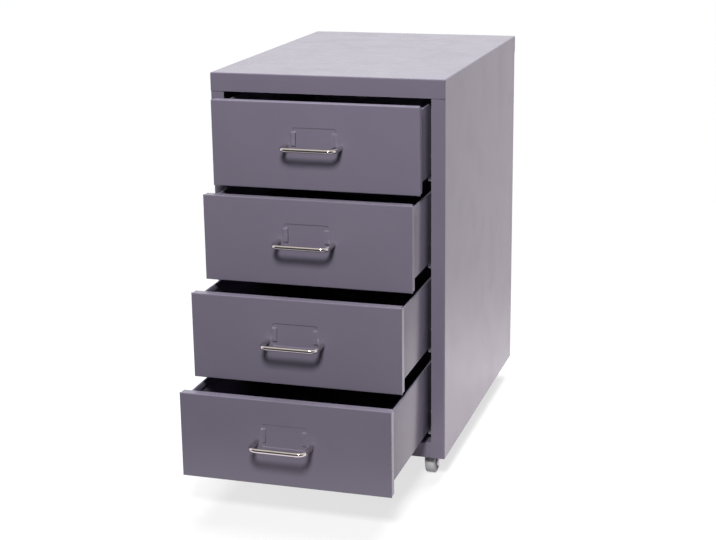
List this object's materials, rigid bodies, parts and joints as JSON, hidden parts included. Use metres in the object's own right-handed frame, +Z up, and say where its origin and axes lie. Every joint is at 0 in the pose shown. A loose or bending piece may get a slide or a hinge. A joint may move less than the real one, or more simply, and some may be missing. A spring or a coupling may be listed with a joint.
{
  "type": "small metal drawer cabinet",
  "caption": "Small metal drawer cabinet on swivel casters: folded sheet-steel carcass, drawers sliding on side runners, bent wire handles and pressed label pockets.",
  "frame": {"origin": "on the floor under the middle of the whole object's box as it stands, the four drawers pulled out as in the picture", "axes": "+Z up, -Y the way the drawers open, +X to the right of someone facing the fronts"},
  "size_m": [0.28, 0.596, 0.48],
  "materials": {
    "cabinet_paint": "semi-gloss powder coat, purple-grey, very fine orange peel",
    "drawer_paint": "semi-gloss powder coat, purple-grey, very fine orange peel",
    "runner_paint": "semi-gloss powder coat, rubbed along the sliding edges",
    "handle_chrome": "polished chrome plate",
    "screw_zinc": "bright zinc plate",
    "caster_zinc": "bright zinc plate, slightly dulled",
    "wheel_plastic": "pale grey moulded plastic, faint scuffing on the tread",
    "glide_nylon": "natural nylon, slightly polished where it slides"
  },
  "bodies": {
    "cabinet": {"top_cover": "cabinet_paint", "side_panel_left": "cabinet_paint", "side_panel_right": "cabinet_paint", "back_panel": "cabinet_paint", "base_pan": "cabinet_paint", "back_screws": "screw_zinc", "cover_screws": "screw_zinc", "caster_nuts": "screw_zinc", "runner_left_1": "runner_paint", "runner_right_1": "runner_paint", "runner_left_2": "runner_paint", "runner_right_2": "runner_paint", "runner_left_3": "runner_paint", "runner_right_3": "runner_paint", "runner_left_4": "runner_paint", "runner_right_4": "runner_paint", "caster_front_left_stem": "caster_zinc", "caster_front_right_stem": "caster_zinc", "caster_rear_left_stem": "caster_zinc", "caster_rear_right_stem": "caster_zinc"},
    "drawer_1": {"drawer_1_front": "drawer_paint", "drawer_1_tray": "drawer_paint", "drawer_1_back": "drawer_paint", "drawer_1_handle": "handle_chrome", "drawer_1_handle_screws": "screw_zinc", "drawer_1_glides": "glide_nylon"},
    "drawer_2": {"drawer_2_front": "drawer_paint", "drawer_2_tray": "drawer_paint", "drawer_2_back": "drawer_paint", "drawer_2_handle": "handle_chrome", "drawer_2_handle_screws": "screw_zinc", "drawer_2_glides": "glide_nylon"},
    "drawer_3": {"drawer_3_front": "drawer_paint", "drawer_3_tray": "drawer_paint", "drawer_3_back": "drawer_paint", "drawer_3_handle": "handle_chrome", "drawer_3_handle_screws": "screw_zinc", "drawer_3_glides": "glide_nylon"},
    "drawer_4": {"drawer_4_front": "drawer_paint", "drawer_4_tray": "drawer_paint", "drawer_4_back": "drawer_paint", "drawer_4_handle": "handle_chrome", "drawer_4_handle_screws": "screw_zinc", "drawer_4_glides": "glide_nylon"},
    "caster_front_left": {"caster_front_left_fork": "caster_zinc", "caster_front_left_axle": "caster_zinc"},
    "wheel_front_left": {"caster_front_left_wheel": "wheel_plastic"},
    "caster_front_right": {"caster_front_right_fork": "caster_zinc", "caster_front_right_axle": "caster_zinc"},
    "wheel_front_right": {"caster_front_right_wheel": "wheel_plastic"},
    "caster_rear_left": {"caster_rear_left_fork": "caster_zinc", "caster_rear_left_axle": "caster_zinc"},
    "wheel_rear_left": {"caster_rear_left_wheel": "wheel_plastic"},
    "caster_rear_right": {"caster_rear_right_fork": "caster_zinc", "caster_rear_right_axle": "caster_zinc"},
    "wheel_rear_right": {"caster_rear_right_wheel": "wheel_plastic"}
  },
  "joints": [
    {"name": "drawer_1_slide", "type": "slide", "parent": "cabinet", "child": "drawer_1", "axis": [0, -1, 0], "range_m": [-0.0441, 0.2439]},
    {"name": "drawer_2_slide", "type": "slide", "parent": "cabinet", "child": "drawer_2", "axis": [0, -1, 0], "range_m": [-0.0774, 0.2106]},
    {"name": "drawer_3_slide", "type": "slide", "parent": "cabinet", "child": "drawer_3", "axis": [0, -1, 0], "range_m": [-0.1228, 0.1652]},
    {"name": "drawer_4_slide", "type": "slide", "parent": "cabinet", "child": "drawer_4", "axis": [0, -1, 0], "range_m": [-0.1674, 0.1206]},
    {"name": "caster_front_left_swivel", "type": "hinge", "parent": "cabinet", "child": "caster_front_left", "pos_m": [-0.119, -0.06665, 0.033], "axis": [0, 0, 1], "continuous": true},
    {"name": "wheel_front_left_spin", "type": "hinge", "parent": "caster_front_left", "child": "wheel_front_left", "pos_m": [-0.119, -0.07465, 0.015], "axis": [1, 0, 0], "continuous": true},
    {"name": "caster_front_right_swivel", "type": "hinge", "parent": "cabinet", "child": "caster_front_right", "pos_m": [0.119, -0.06665, 0.033], "axis": [0, 0, 1], "continuous": true},
    {"name": "wheel_front_right_spin", "type": "hinge", "parent": "caster_front_right", "child": "wheel_front_right", "pos_m": [0.119, -0.07465, 0.015], "axis": [1, 0, 0], "continuous": true},
    {"name": "caster_rear_left_swivel", "type": "hinge", "parent": "cabinet", "child": "caster_rear_left", "pos_m": [-0.119, 0.26135, 0.033], "axis": [0, 0, 1], "continuous": true},
    {"name": "wheel_rear_left_spin", "type": "hinge", "parent": "caster_rear_left", "child": "wheel_rear_left", "pos_m": [-0.119, 0.25335, 0.015], "axis": [1, 0, 0], "continuous": true},
    {"name": "caster_rear_right_swivel", "type": "hinge", "parent": "cabinet", "child": "caster_rear_right", "pos_m": [0.119, 0.26135, 0.033], "axis": [0, 0, 1], "continuous": true},
    {"name": "wheel_rear_right_spin", "type": "hinge", "parent": "caster_rear_right", "child": "wheel_rear_right", "pos_m": [0.119, 0.25335, 0.015], "axis": [1, 0, 0], "continuous": true}
  ]
}
